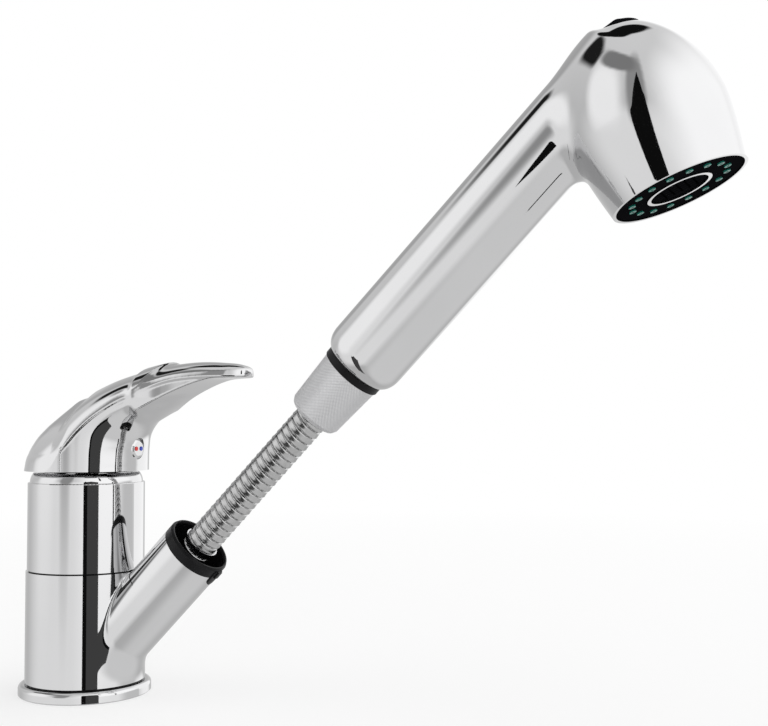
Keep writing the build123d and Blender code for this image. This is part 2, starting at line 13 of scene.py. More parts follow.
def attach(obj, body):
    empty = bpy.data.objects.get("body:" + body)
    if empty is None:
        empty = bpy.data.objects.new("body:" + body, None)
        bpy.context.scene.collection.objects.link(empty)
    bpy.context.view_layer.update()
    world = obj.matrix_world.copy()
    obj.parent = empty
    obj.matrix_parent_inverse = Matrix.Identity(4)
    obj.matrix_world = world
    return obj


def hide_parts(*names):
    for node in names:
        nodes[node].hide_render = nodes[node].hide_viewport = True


MM = 0.001

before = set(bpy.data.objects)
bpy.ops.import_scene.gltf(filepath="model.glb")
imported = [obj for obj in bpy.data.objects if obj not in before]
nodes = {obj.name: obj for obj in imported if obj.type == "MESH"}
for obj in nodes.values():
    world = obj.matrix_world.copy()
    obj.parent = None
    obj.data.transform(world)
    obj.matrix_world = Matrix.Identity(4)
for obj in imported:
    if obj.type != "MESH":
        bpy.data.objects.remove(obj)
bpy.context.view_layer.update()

# Places shared with the solids
SPOUT_ANGLE = radians(45.0)
SPOUT_UP = 7.2
HEAD_AT = 338.0
HEAD_ANGLE = radians(112.5)
HEAD_PIVOT = 51.5
HEAD_TOP = 65.8
BUTTON_LOW = 56.9
BODY_R = 25.0
SLEEVE_R = 25.5
SLEEVE_LOW = 5.8
SLEEVE_HIGH = 52.9
TUBE_R = 14.25
TUBE_BORE = 13.1
MOUTH = 78.0
SKIRT_R = 26.7
SKIRT_LOW = 96.0
NUT_LOW = 158.0
NUT_HIGH = 182.5
RING_HIGH = 185.5
HANDLE_R = 16.2

along = Vector((cos(SPOUT_ANGLE), 0, sin(SPOUT_ANGLE)))
across = Vector((-sin(SPOUT_ANGLE), 0, cos(SPOUT_ANGLE)))
head_up = Vector((cos(HEAD_ANGLE), 0, sin(HEAD_ANGLE)))
head_side = Vector((head_up.z, 0, -head_up.x))
head_zero = Vector((0, 0, SPOUT_UP)) + along * HEAD_AT - head_up * HEAD_PIVOT


def placed(x_dir, z_dir, origin):
    """A frame as (origin, 3 axes) arrays: local (a, b, c) is origin + a x + b y + c z."""
    y_dir = z_dir.cross(x_dir)
    return np.array(origin), np.array([x_dir, y_dir, z_dir])


WORLD = (np.zeros(3), np.eye(3))
SPOUT = placed(across, along, Vector((0, 0, SPOUT_UP)))
HEAD = placed(head_side, head_up, head_zero)


def to_world(place, points):
    return place[0] + points @ place[1]


def to_local(place, points):
    return (points - place[0]) @ place[1].T


# Mesh tools

def mesh_piece(name, points, faces):
    """An object from points in millimetres."""
    mesh = bpy.data.meshes.new(name)
    mesh.from_pydata((np.asarray(points) * MM).tolist(), [], faces)
    mesh.update()
    piece = bpy.data.objects.new(name, mesh)
    bpy.context.scene.collection.objects.link(piece)
    return piece


def grid_faces(rows, columns, wrap=True):
    """Quads of a grid of rows by columns, closed round the columns when wrap is set."""
    last = columns if wrap else columns - 1
    return [(r * columns + c, r * columns + (c + 1) % columns, (r + 1) * columns + (c + 1) % columns, (r + 1) * columns + c)
            for r in range(rows - 1) for c in range(last)]


def soften(piece, limit=32.0):
    """Smooth shading, with the edges that turn by more than the limit left sharp."""
    bm = bmesh.new()
    bm.from_mesh(piece.data)
    bmesh.ops.remove_doubles(bm, verts=bm.verts, dist=2e-6)
    bmesh.ops.recalc_face_normals(bm, faces=bm.faces)
    for face in bm.faces:
        face.smooth = True
    for edge in bm.edges:
        edge.smooth = len(edge.link_faces) == 2 and edge.calc_face_angle(0) < radians(limit)
    bm.to_mesh(piece.data)
    bm.free()
    return piece


def lathe(name, path, place=WORLD, turns=160):
    """A closed (radius, height) path turned about the place's third axis: x = r cos a, y = r sin a, z = h."""
    path = np.asarray(path, float)
    angles = np.arange(turns) * 2 * pi / turns
    rings = np.stack([np.outer(path[:, 0], np.cos(angles)), np.outer(path[:, 0], np.sin(angles)),
                      np.repeat(path[:, 1:2], turns, 1)], -1)
    rings = np.concatenate([rings, rings[:1]])
    points = to_world(place, rings.reshape(-1, 3))
    return soften(mesh_piece(name, points, grid_faces(len(path) + 1, turns)))


def applied(piece):
    """The piece with its modifiers made permanent."""
    graph = bpy.context.evaluated_depsgraph_get()
    mesh = bpy.data.meshes.new_from_object(piece.evaluated_get(graph))
    piece.modifiers.clear()
    piece.data = mesh
    return piece


def carved(piece, cutters):
    """The piece less its cutters, which are removed."""
    for cutter in cutters:
        step = piece.modifiers.new("cut", "BOOLEAN")
        step.operation = "DIFFERENCE"
        step.solver = "EXACT"
        step.object = cutter
    applied(piece)
    for cutter in cutters:
        bpy.data.objects.remove(cutter)
    return piece


def skinned(name, field, low, high, cell):
    """The surface where the field is 0; it is below 0 inside. Each grid cell that the surface crosses has one
    point, the mean of the crossings on the cell's edges, moved on by Newton steps p -= F grad F / |grad F|^2,
    and each grid edge that it crosses has a quad of the four cells round it."""
    axes = [np.arange(first, last + cell, cell) for first, last in zip(low, high)]
    spots = np.stack(np.meshgrid(*axes, indexing="ij"), -1)
    values = np.stack([field(slab.reshape(-1, 3)).reshape(slab.shape[:2]) for slab in spots])
    inside = values < 0
    units = np.eye(3, dtype=int)

    def corner(grid, at):
        return grid[tuple(slice(side, side - 1 or None) for side in at)]

    corners = [(a, b, c) for a in (0, 1) for b in (0, 1) for c in (0, 1)]
    filled = sum(corner(inside, at).astype(int) for at in corners)
    crossed = (filled > 0) & (filled < 8)
    number = np.full(crossed.shape, -1)
    number[crossed] = np.arange(crossed.sum())
    total = np.zeros((crossed.sum(), 3))
    hits = np.zeros(crossed.sum())
    for at in corners:
        for axis in range(3):
            if at[axis]:
                continue
            here = corner(values, at)[crossed]
            there = corner(values, tuple(np.add(at, units[axis])))[crossed]
            cut = (here < 0) != (there < 0)
            share = here / np.where(cut, here - there, 1)
            total += (np.array(at) + share[:, None] * units[axis]) * cut[:, None]
            hits += cut
    points = corner(spots, (0, 0, 0))[crossed] + cell * total / hits[:, None]
    nudge = 0.002
    for _ in range(4):
        value = field(points)
        slope = np.stack([(field(points + d) - field(points - d)) / (2 * nudge) for d in units * nudge], -1)
        move = slope * (value / np.maximum((slope ** 2).sum(-1), 0.15))[:, None]
        length = np.linalg.norm(move, axis=-1, keepdims=True)
        points -= move * np.minimum(1.0, 0.5 * cell / np.maximum(length, 1e-9))
    faces = []
    for axis in range(3):
        one, two = (axis + 1) % 3, (axis + 2) % 3
        before = np.take(inside, range(inside.shape[axis] - 1), axis)
        after = np.take(inside, range(1, inside.shape[axis]), axis)
        at = np.argwhere(before != after)
        at = at[(at[:, one] > 0) & (at[:, two] > 0)]
        at = at[(at[:, one] < inside.shape[one] - 1) & (at[:, two] < inside.shape[two] - 1)]
        around = [at - units[one] - units[two], at - units[two], at, at - units[one]]
        quads = np.stack([number[tuple(cells.T)] for cells in around], -1)
        faces.append(np.where(before[tuple(at.T)][:, None], quads, quads[:, ::-1]))
    return mesh_piece(name, points, np.concatenate(faces).tolist())


def eased(x, stations, values):
    """A smooth curve through the stations: cubic Hermite spans whose slopes are the central differences."""
    stations = np.array(stations, float)
    values = np.array(values, float)
    slopes = np.gradient(values, stations)
    left = np.clip(np.searchsorted(stations, x) - 1, 0, len(stations) - 2)
    span = stations[left + 1] - stations[left]
    t = np.clip((x - stations[left]) / span, 0, 1)
    ends = values[left] * (1 + 2 * t) * (1 - t) ** 2 + values[left + 1] * t * t * (3 - 2 * t)
    return ends + span * (slopes[left] * t * (1 - t) ** 2 - slopes[left + 1] * t * t * (1 - t))


def eased_step(x, start, end):
    """0 before start and 1 past end, with a smooth rise between."""
    t = np.clip((x - start) / (end - start), 0, 1)
    return t * t * (3 - 2 * t)


def smooth_min(a, b, width):
    """min(a, b) with the corner rounded over width: min - (width - |a - b|)^2 / (4 width) where they are near."""
    near = np.maximum(width - np.abs(a - b), 0) / width
    return np.minimum(a, b) - near * near * width / 4


def smooth_max(a, b, width):
    return -smooth_min(-a, -b, width)


def dressed(piece, body, material, *replaced, slot=None):
    """Rides, takes its material and stands for the nodes it replaces."""
    piece.data.materials.clear()
    piece.data.materials.append(material)
    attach(piece, body)
    if replaced:
        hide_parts(*replaced)
    return piece


# Materials

def new_material(name):
    material = bpy.data.materials.new(name)
    material.use_nodes = True
    tree = material.node_tree
    shader = tree.nodes["Principled BSDF"]
    return material, tree, shader


def link(tree, start, end):
    tree.links.new(start, end)


def node(tree, kind, **settings):
    made = tree.nodes.new(kind)
    for key, value in settings.items():
        setattr(made, key, value)
    return made


def noise(tree, scale, detail=3.0):
    """Noise on object coordinates, which are metres in the model's frame."""
    spot = node(tree, "ShaderNodeTexCoord")
    grain = node(tree, "ShaderNodeTexNoise")
    grain.inputs["Scale"].default_value = scale
    grain.inputs["Detail"].default_value = detail
    link(tree, spot.outputs["Object"], grain.inputs["Vector"])
    return grain.outputs["Fac"]


def ranged(tree, value, low, high, start=0.0, end=1.0):
    step = node(tree, "ShaderNodeMapRange")
    step.inputs["From Min"].default_value = start
    step.inputs["From Max"].default_value = end
    step.inputs["To Min"].default_value = low
    step.inputs["To Max"].default_value = high
    link(tree, value, step.inputs["Value"])
    return step.outputs["Result"]


def bumped(tree, shader, height, strength, distance):
    bump = node(tree, "ShaderNodeBump")
    bump.inputs["Strength"].default_value = strength
    bump.inputs["Distance"].default_value = distance
    link(tree, height, bump.inputs["Height"])
    link(tree, bump.outputs["Normal"], shader.inputs["Normal"])


def tinted(tree, shader, value, dark, light):
    mix = node(tree, "ShaderNodeMix", data_type="RGBA")
    mix.inputs["A"].default_value = (*dark, 1)
    mix.inputs["B"].default_value = (*light, 1)
    link(tree, value, mix.inputs["Factor"])
    link(tree, mix.outputs["Result"], shader.inputs["Base Color"])


def metal(name, dark, light, rough_low, rough_high, scale=60.0, strength=0.0):
    """Plated or bare metal: faint clouding in tone and polish, and a fine unevenness where strength is set."""
    material, tree, shader = new_material(name)
    shader.inputs["Metallic"].default_value = 1.0
    cloud = noise(tree, scale)
    tinted(tree, shader, cloud, dark, light)
    link(tree, ranged(tree, noise(tree, scale * 6, 5), rough_low, rough_high, 0.3, 0.7), shader.inputs["Roughness"])
    if strength:
        bumped(tree, shader, noise(tree, scale * 20, 4), strength, 0.0001)
    return material


def moulded(name, dark, light, rough_low, rough_high, scale=900.0, strength=0.15, gloss=0.5):
    """Moulded plastic or rubber with a fine grain."""
    material, tree, shader = new_material(name)
    shader.inputs["Specular IOR Level"].default_value = gloss
    tinted(tree, shader, noise(tree, 90.0), dark, light)
    link(tree, ranged(tree, noise(tree, 240.0), rough_low, rough_high, 0.3, 0.7), shader.inputs["Roughness"])
    bumped(tree, shader, noise(tree, scale, 4), strength, 0.0001)
    return material


chrome = metal("chrome", (0.60, 0.60, 0.605), (0.64, 0.64, 0.645), 0.03, 0.05, 40.0)
hose_metal = metal("hose_metal", (0.36, 0.36, 0.36), (0.56, 0.56, 0.56), 0.14, 0.24, 300.0, 0.1)
steel = metal("steel", (0.55, 0.55, 0.56), (0.68, 0.68, 0.69), 0.12, 0.22, 200.0, 0.1)
brass = metal("brass", (0.60, 0.45, 0.20), (0.75, 0.60, 0.30), 0.18, 0.30, 200.0, 0.1)
black = moulded("black_plastic", (0.004, 0.004, 0.0045), (0.009, 0.009, 0.010), 0.28, 0.40, gloss=0.12)
button_black = moulded("button_plastic", (0.003, 0.003, 0.0035), (0.006, 0.006, 0.007), 0.42, 0.5, gloss=0.0)
dark_metal = metal("dark_metal", (0.08, 0.08, 0.08), (0.14, 0.14, 0.14), 0.3, 0.4, 200.0)
grey = moulded("grey_plastic", (0.36, 0.37, 0.38), (0.46, 0.47, 0.48), 0.35, 0.5)
white = moulded("white_plastic", (0.72, 0.72, 0.70), (0.82, 0.82, 0.80), 0.35, 0.5)
rubber = moulded("rubber", (0.012, 0.012, 0.012), (0.03, 0.03, 0.03), 0.5, 0.7)
teal = moulded("nozzle_rubber", (0.0, 0.10, 0.075), (0.004, 0.19, 0.14), 0.25, 0.4)
ceramic = moulded("ceramic", (0.80, 0.78, 0.74), (0.90, 0.88, 0.85), 0.08, 0.14, 1200.0, 0.05)
red = moulded("red_mark", (0.55, 0.01, 0.008), (0.75, 0.02, 0.015), 0.25, 0.35)
blue = moulded("blue_mark", (0.01, 0.03, 0.38), (0.02, 0.06, 0.55), 0.25, 0.35)


def knurled():
    """Satin chrome with a fine diamond knurl: height |sin(n a + k s)| |sin(n a - k s)| round the spout axis. The same
    height also sets the colour as painted shade: darker in the grooves, lighter on the raised diamonds.
    """
    material, tree, shader = new_material("knurled_chrome")
    shader.inputs["Metallic"].default_value = 1.0
    spot = node(tree, "ShaderNodeTexCoord")
    turn = node(tree, "ShaderNodeVectorRotate", rotation_type="Y_AXIS")
    turn.inputs["Angle"].default_value = -(pi / 2 - SPOUT_ANGLE)
    turn.inputs["Center"].default_value = (0, 0, SPOUT_UP * MM)
    link(tree, spot.outputs["Object"], turn.inputs["Vector"])
    parts = node(tree, "ShaderNodeSeparateXYZ")
    link(tree, turn.outputs["Vector"], parts.inputs["Vector"])
    angle = node(tree, "ShaderNodeMath", operation="ARCTAN2")
    link(tree, parts.outputs["Y"], angle.inputs[0])
    link(tree, parts.outputs["X"], angle.inputs[1])
    waves = []
    for side in (1, -1):
        slope = node(tree, "ShaderNodeMath", operation="MULTIPLY")
        slope.inputs[1].default_value = side * 3600.0
        link(tree, parts.outputs["Z"], slope.inputs[0])
        phase = node(tree, "ShaderNodeMath", operation="MULTIPLY_ADD")
        phase.inputs[1].default_value = 44.0
        link(tree, angle.outputs[0], phase.inputs[0])
        link(tree, slope.outputs[0], phase.inputs[2])
        wave = node(tree, "ShaderNodeMath", operation="SINE")
        link(tree, phase.outputs[0], wave.inputs[0])
        size = node(tree, "ShaderNodeMath", operation="ABSOLUTE")
        link(tree, wave.outputs[0], size.inputs[0])
        waves.append(size)
    both = node(tree, "ShaderNodeMath", operation="MULTIPLY")
    link(tree, waves[0].outputs[0], both.inputs[0])
    link(tree, waves[1].outputs[0], both.inputs[1])
    # painted shade: the knurl height darkens the chrome's colour in the grooves and lightens it on the diamonds
    tinted(tree, shader, both.outputs[0], (0.56, 0.56, 0.57), (0.84, 0.84, 0.85))
    shader.inputs["Roughness"].default_value = 0.3
    bumped(tree, shader, both.outputs[0], 0.5, 0.0003)
    return material


knurl = knurled()

NODE_LOOKS = {
    "base_flange": chrome, "main_body": chrome, "dome_ring": chrome, "index_plug": chrome, "aerator_ring": chrome,
    "spout_sleeve": chrome, "lever": chrome, "handset_shell": chrome, "hose_nut": knurl, "hose_guide_ring": steel,
    "spout_collar": black, "handle_end_ring": black, "diverter_button": button_black, "spray_face": button_black,
    "aerator": button_black, "lower_slip_ring": black, "upper_slip_ring": black, "nozzle_mat": teal, "cartridge_housing": grey,
    "check_valve": grey, "disc_carrier": grey, "diverter_spool": grey, "spindle_guide": white, "waterway_pipe": white,
    "diverter_body": white, "hose_liner": white, "fixed_ceramic_disc": ceramic, "moving_ceramic_disc": ceramic,
    "cartridge_nut": dark_metal, "hose_insert": brass, "handle_connector": dark_metal, "spindle": dark_metal,
    "lever_pivot_pin": steel, "lever_grub_screw": steel, "diverter_spring": steel, "hose_ferrule": steel,
    "hose": hose_metal, "hot_mark": red, "cold_mark": blue,
}
for name, piece in nodes.items():
    piece.data.materials.clear()
    piece.data.materials.append(NODE_LOOKS.get(name, rubber))


# Handset casing

def egg(points):
    """Distance to the head's form, by first order: an ellipse above the widest place, a swelling curve below."""
    local = to_local(HEAD, points)
    radius = np.hypot(local[:, 0], local[:, 1])
    height = local[:, 2]
    wide, widest, top, face = 29.5, 26.0, HEAD_TOP, 25.4
    rise = np.maximum(height - widest, 0)
    size = np.sqrt((radius / wide) ** 2 + (rise / (top - widest)) ** 2) + 1e-9
    slope = np.sqrt((radius / wide ** 2) ** 2 + (rise / (top - widest) ** 2) ** 2) / size + 1e-9
    upper = (size - 1) / slope
    share = np.clip(1 - height / widest, 0, 1.6)
    curve = face + (wide - face) * (1 - share ** 1.4)
    pull = (wide - face) * 1.4 * share ** 0.4 / widest
    lower = (radius - curve) / np.sqrt(1 + pull ** 2)
    return np.where(height > widest, upper, lower)


def handle(points):
    """Distance to the handle: a cylinder with its lower end rounded."""
    local = to_local(SPOUT, points)
    radius = np.hypot(local[:, 0], local[:, 1])
    side = radius - HANDLE_R
    end = RING_HIGH - 1.3 - local[:, 2]
    return smooth_max(smooth_max(side, end, 9.0), local[:, 2] - HEAD_AT, 2.0)


def make_casing():
    """Handle and head in one chromed shell, open at both ends and under the button."""
    def field(points):
        head = np.maximum(egg(points), -4 - to_local(HEAD, points)[:, 2])
        return smooth_min(head, handle(points), 7.0)

    skin = skinned("handset_casing", field, (118, -32, 120), (292, 32, 306), 0.75)
    below = lathe("below", [(0.01, -20), (60, -20), (60, 0), (0.01, 0)], HEAD, 64)
    inner = [(0.01, -1), (24.2, -1), (24.2, 5), (25.4, 9), (26.9, 18), (27.5, 26), (26.9, 34), (25.0, 42.5),
             (21.4, 50), (16.6, 56.5), (9.5, 61.4), (0.01, 63.4)]
    hollow = lathe("hollow", inner, HEAD, 96)
    bore = lathe("bore", [(0.01, 170), (12.8, 170), (12.8, 187), (14.2, 190), (14.2, 318), (0.01, 318)], SPOUT, 96)
    slot = slotted("slot", 15.3, 8.3, BUTTON_LOW, 75.0)
    return soften(carved(skin, [below, hollow, bore, slot]), 40)


def slot_path(half_length, half_width, count=24):
    """Plan of the button: a straight-sided slot with round ends, about its own middle."""
    reach = half_length - half_width
    turn = np.linspace(-pi / 2, pi / 2, count)
    right = np.stack([reach + half_width * np.cos(turn), half_width * np.sin(turn)], -1)
    return np.concatenate([right, -right])


def slotted(name, half_length, half_width, low, high):
    """A plain block with the button's plan, used as a cutter."""
    plan = slot_path(half_length, half_width) + [-3.0, 0]
    count = len(plan)
    rings = np.concatenate([np.column_stack([plan, np.full(count, z)]) for z in (low, high)])
    faces = grid_faces(2, count) + [tuple(range(count)), tuple(range(2 * count - 1, count - 1, -1))]
    return soften(mesh_piece(name, to_world(HEAD, rings), faces))


def make_button():
    """The black button along the top of the head: crowned with the head, its edge rolled, with a grip ridge."""
    rows = [(0.0, None), (0.6, None), (1.0, None), (1.0, 0.3), (0.985, 0.75), (0.94, 1.1), (0.87, 1.3)]
    rows += [(share, 1.3) for share in np.linspace(0.75, 0.0, 14)]
    plan = slot_path(15.0, 8.0, 28)
    count = len(plan)
    rings = []
    for share, proud in rows:
        inset = 8.0 * (1 - share)
        outline = slot_path(15.0 - inset, max(8.0 - inset, 0.01), 28) + [-3.0, 0]
        radius = np.hypot(outline[:, 0], outline[:, 1])
        crown = 26.0 + (HEAD_TOP - 26.0) * np.sqrt(np.maximum(1 - (radius / 29.5) ** 2, 0))
        if proud is None:
            height = np.full(count, BUTTON_LOW)
        else:
            height = crown + proud + 0.25 * np.exp(-((outline[:, 0] - 5.2) / 0.9) ** 2) * (proud > 1.2)
        rings.append(np.column_stack([outline, height]))
    points = to_world(HEAD, np.concatenate(rings))
    button = mesh_piece("diverter_button_cap", points, grid_faces(len(rows), count))
    return soften(button, 50)


casing = dressed(make_casing(), "handset", chrome, "handset_shell", slot="chrome_plate")
button = dressed(make_button(), "diverter", button_black, "diverter_button", slot="black_plastic")


# Spout

def make_spout():
    """The swivelling lower body and its slanting tube, blended where they meet."""
    def field(points):
        local = to_local(SPOUT, points)
        tube = np.hypot(local[:, 0], local[:, 1]) - TUBE_R
        sleeve = np.hypot(points[:, 0], points[:, 1]) - SLEEVE_R
        tube = np.maximum(tube, np.maximum(-local[:, 2] - 20, local[:, 2] - MOUTH - 3))
        sleeve = np.maximum(sleeve, points[:, 2] - SLEEVE_HIGH - 3)
        width = 5.2 - 4.0 * eased_step(points[:, 2], 12, 38)
        return np.maximum(smooth_min(tube, sleeve, width), SLEEVE_LOW - 4 - points[:, 2])

    step = skinned("spout_body", field, (-28, -28, 0), (74, 28, 78), 0.6)
    under = lathe("under", [(0.01, -30), (70, -30), (70, SLEEVE_LOW), (0.01, SLEEVE_LOW)], turns=64)
    over = lathe("over", [(0.01, SLEEVE_HIGH), (25.95, SLEEVE_HIGH), (25.95, 90), (0.01, 90)])
    past = lathe("past", [(0.01, MOUTH), (40, MOUTH), (40, MOUTH + 30), (0.01, MOUTH + 30)], SPOUT, 96)
    bore = lathe("bore", [(0.01, 0), (22.1, 0), (22.1, 80), (0.01, 80)])
    tube_bore = lathe("tube_bore", [(0.01, 16), (TUBE_BORE, 16), (TUBE_BORE, 90), (0.01, 90)], SPOUT)
    return soften(carved(step, [under, over, past, bore, tube_bore]), 40)


spout = dressed(make_spout(), "spout", chrome, "spout_sleeve", slot="chrome_plate")


# Lever

RIDGE_X = [-27, -12, 0, 6.4, 16, 26, 37, 48.5, 60, 71, 78.6, 82, 84, 90]
RIDGE_Z = [117.5, 122, 127.4, 130.6, 134.4, 137.2, 139.4, 141.1, 141.9, 141.4, 140.4, 139.2, 137.6, 132]
DOME_R = [0, 2, 6.1, 11.8, 17, 21.8, 24.6, 26.0, 26.7, 27.5]
DOME_Z = [127.1, 126.1, 122.8, 118.2, 113.7, 108.2, 103.2, 99.4, 95, 84]
EDGE_X = [0, 8, 12, 17.6, 24.3, 29.5, 36, 42, 50, 60, 70, 76, 80, 82.6, 83.8]
EDGE_Y = [26.7, 25.5, 24.0, 22.0, 19.9, 18.2, 16.4, 14.9, 13.3, 11.8, 10.0, 8.2, 6.0, 3.0, 0.1]
EDGE_Z = [100, 108.5, 113.6, 119.2, 124, 127, 129.9, 132.4, 134.9, 136.2, 136.6, 136.6, 136.6, 136.8, 137.2]
UNDER_X = [20, 26, 33, 39.3, 47, 55, 63, 70, 76, 84]
UNDER_Z = [113, 116.4, 120.2, 123.6, 127.3, 130.7, 133.4, 134.9, 135.3, 135.6]
FLARE_Z = [98, 106, 111.5, 115.8, 119.7, 123, 127]
FLARE = [0, 0.5, 2.0, 5.5, 10.0, 14.0, 17.0]


def lever_field(points):
    """Hood, blade and neck. The hood lies under a top surface and within its edges, which stand over the blade
    and the neck; ahead of the axis its top falls from the ridge to the edge as 0.6 t + 0.4 t^6 of the way
    across, and further out as 0.25 t + 0.75 t^3. The blade has a flat underside. The neck is the skirt's round,
    and flares forwards by flare(z) cos^4 of the angle round it."""
    x, y, z = points[:, 0], np.abs(points[:, 1]), points[:, 2]
    radius = np.hypot(x, y)
    edge_y = eased(x, EDGE_X, EDGE_Y)
    edge_z = eased(x, EDGE_X, EDGE_Z)
    soft_y = np.sqrt(y * y + 16) - 4
    t = soft_y / np.maximum(np.sqrt(edge_y ** 2 + 16) - 4, 0.3)
    outer = eased_step(x, 26, 46)
    fall = (0.6 * t + 0.4 * t ** 6) * (1 - outer) + (0.25 * t + 0.75 * t ** 3) * outer
    ridge = eased(x, RIDGE_X, RIDGE_Z)
    front = ridge - (ridge - edge_z) * fall
    soft_radius = (np.sqrt(radius ** 2 + 4) - 2) * 1.078
    rear = eased(soft_radius, DOME_R, DOME_Z)
    top = rear + (front - rear) * eased_step(x, -7, 8)
    top_side = (z - top) * 0.75
    plan = np.where(x > 6, y - edge_y, radius - SKIRT_R)
    under = eased(x, UNDER_X, UNDER_Z)
    hood = smooth_max(smooth_max(top_side, plan, 1.8), (edge_z - 1.4 - z) * 0.8, 1.2)
    blade = smooth_max(smooth_max(plan + 1.1, (under - z) * 0.8, 0.8), 36 - x, 2.0)
    blade = np.maximum(blade, top_side + 0.4)
    forward = np.maximum(x, 0) / np.maximum(radius, 1e-6)
    neck = (radius - SKIRT_R - eased(z, FLARE_Z, FLARE) * forward ** 4) * 0.8
    neck = smooth_max(neck, np.where(x > 6, plan + 0.9, -20), 1.0)
    neck = np.maximum(neck, top_side + 0.3 * eased_step(x, 4, 14))
    return np.maximum(smooth_min(smooth_min(blade, neck, 6.0), hood, 0.8), SKIRT_LOW - 4 - z)


def make_lever():
    """The lever's skin, hollowed from below for the cartridge, with seats for the plug."""
    skin = skinned("lever_skin", lever_field, (-29, -29, 90), (86, 29, 145), 0.45)
    under = lathe("under", [(0.01, 60), (60, 60), (60, SKIRT_LOW), (0.01, SKIRT_LOW)], turns=64)
    cavity = lathe("cavity", [(9.0, 90), (25.2, 90), (25.2, 99.5), (20.2, 105.5), (13.2, 110), (9.0, 110)])
    seat_place = placed(Vector((0, 0, 1)), Vector((1, 0, 0)), Vector((0, 0, 105.5)))
    seat = lathe("seat", [(0.01, 23.9), (4.55, 23.9), (4.55, 40), (0.01, 40)], seat_place, 64)
    return soften(carved(skin, [under, cavity, seat]), 40)


lever = dressed(make_lever(), "lever", chrome, "lever", slot="chrome_plate")


# Hose

def make_hose():
    """Interlocked strip-wound hose: r = 7 - 0.75 w(v), where v = s / pitch + a / 2 pi, a shallow helix of ribs
    with a narrow groove and a lifted lip on each."""
    pitch = 3.4
    low, high = 20.5, 166.5
    rows = int((high - low) / pitch * 16)
    turns = 56
    s = np.linspace(low, high, rows)[:, None]
    a = (np.arange(turns) * 2 * pi / turns)[None, :]
    v = (s / pitch + a / (2 * pi)) % 1.0
    groove = np.exp(-((v - 0.08) / 0.085) ** 2) + np.exp(-((v - 1.08) / 0.085) ** 2)
    lip = np.exp(-((v - 0.30) / 0.10) ** 2)
    radius = 6.86 - 0.85 * groove + 0.14 * lip - 0.12 * np.clip((v - 0.45) / 0.5, 0, 1)
    points = np.stack([radius * np.cos(a), radius * np.sin(a), np.broadcast_to(s, radius.shape)], -1).reshape(-1, 3)
    inner = np.stack([5.7 * np.cos(a), 5.7 * np.sin(a), np.full_like(a, high)], -1).reshape(-1, 3)
    lower = np.stack([5.7 * np.cos(a), 5.7 * np.sin(a), np.full_like(a, low)], -1).reshape(-1, 3)
    points = np.concatenate([lower, points, inner])
    hose = mesh_piece("ribbed_hose", to_world(SPOUT, points), grid_faces(rows + 2, turns))
    return soften(hose, 60), low, high


hose, hose_low, hose_high = make_hose()
dressed(hose, "hose", hose_metal, "hose", slot="chrome_plate")


# Camera

camera_data = bpy.data.cameras.new("camera")
camera_data.lens = 36.0 * 1200.0 / 768.0
camera_data.sensor_width = 36.0
camera_data.sensor_fit = "HORIZONTAL"
camera_data.clip_start = 0.01
camera = bpy.data.objects.new("camera", camera_data)
forward = Vector((-0.4072, 0.9120, 0.0496)).normalized()
up = Vector((0.0237, -0.0438, 0.9988))
right = forward.cross(up).normalized()
up = right.cross(forward)
turn = Matrix((right, up, -forward)).transposed().to_4x4()
camera.matrix_world = Matrix.Translation(Vector((335.0, -429.8, 116.3)) * MM) @ turn
bpy.context.scene.collection.objects.link(camera)
bpy.context.scene.camera = camera

# Floor and light

CHROME_TONE = 0.62


def seen_tone(share):
    """The light that chrome has to meet to look this bright on screen."""
    return ((share + 0.055) / 1.055) ** 2.4 / CHROME_TONE


def make_floor():
    """A plain pale floor that keeps the shadow near the object and is white further out. Bright metal looks
    through it at the studio all round."""
    material, tree, shader = new_material("floor")
    shader.inputs["Roughness"].default_value = 0.9
    tinted(tree, shader, noise(tree, 3.0), (0.88, 0.88, 0.88), (0.90, 0.90, 0.90))
    paths = node(tree, "ShaderNodeLightPath")
    glow = node(tree, "ShaderNodeEmission")
    glow.inputs["Strength"].default_value = 1.0
    clear = node(tree, "ShaderNodeBsdfTransparent")
    output = tree.nodes["Material Output"]
    brighter = node(tree, "ShaderNodeMixShader")
    spot = node(tree, "ShaderNodeTexCoord")
    reach = node(tree, "ShaderNodeVectorMath", operation="LENGTH")
    link(tree, spot.outputs["Object"], reach.inputs[0])
    share = node(tree, "ShaderNodeMath", operation="MULTIPLY")
    link(tree, paths.outputs["Is Camera Ray"], share.inputs[0])
    link(tree, ranged(tree, reach.outputs["Value"], 0.6, 1.0, 0.2, 1.1), share.inputs[1])
    link(tree, share.outputs[0], brighter.inputs["Fac"])
    link(tree, shader.outputs["BSDF"], brighter.inputs[1])
    link(tree, glow.outputs["Emission"], brighter.inputs[2])
    through = node(tree, "ShaderNodeMixShader")
    link(tree, paths.outputs["Is Glossy Ray"], through.inputs["Fac"])
    link(tree, brighter.outputs["Shader"], through.inputs[1])
    link(tree, clear.outputs["BSDF"], through.inputs[2])
    link(tree, through.outputs["Shader"], output.inputs["Surface"])
    corners = [(-6000, -6000, 0), (6000, -6000, 0), (6000, 6000, 0), (-6000, 6000, 0)]
    floor = mesh_piece("floor", corners, [(0, 1, 2, 3)])
    floor.data.materials.append(material)


# Soft boxes and gaps of the studio, as the chrome shows them: azimuth, elevation, the radii of each panel
# both ways, how soft its edge is, all in degrees, and its brightness on screen.
PANELS = [
    (-100, -12, 75, 24, 50, 0.83),
    (2, 24, 66, 40, 70, 0.96),
    (45, -8, 30, 14, 26, 0.72),
    (5, -50, 75, 32, 44, 0.76),
    (-142, 22, 24, 26, 26, 0.90),
    (-96, 30, 13, 34, 20, 0.52),
    (76, 14, 26, 30, 16, 0.92),
    (135, 30, 22, 20, 22, 0.60),
    (-128, 54, 34, 9, 16, 0.45),
    (180, 50, 14, 11, 10, 0.10),
    (128, 68, 46, 13, 10, 0.06),
]
STUDIO_TONE = 0.66
ZENITH_TONE = 0.78


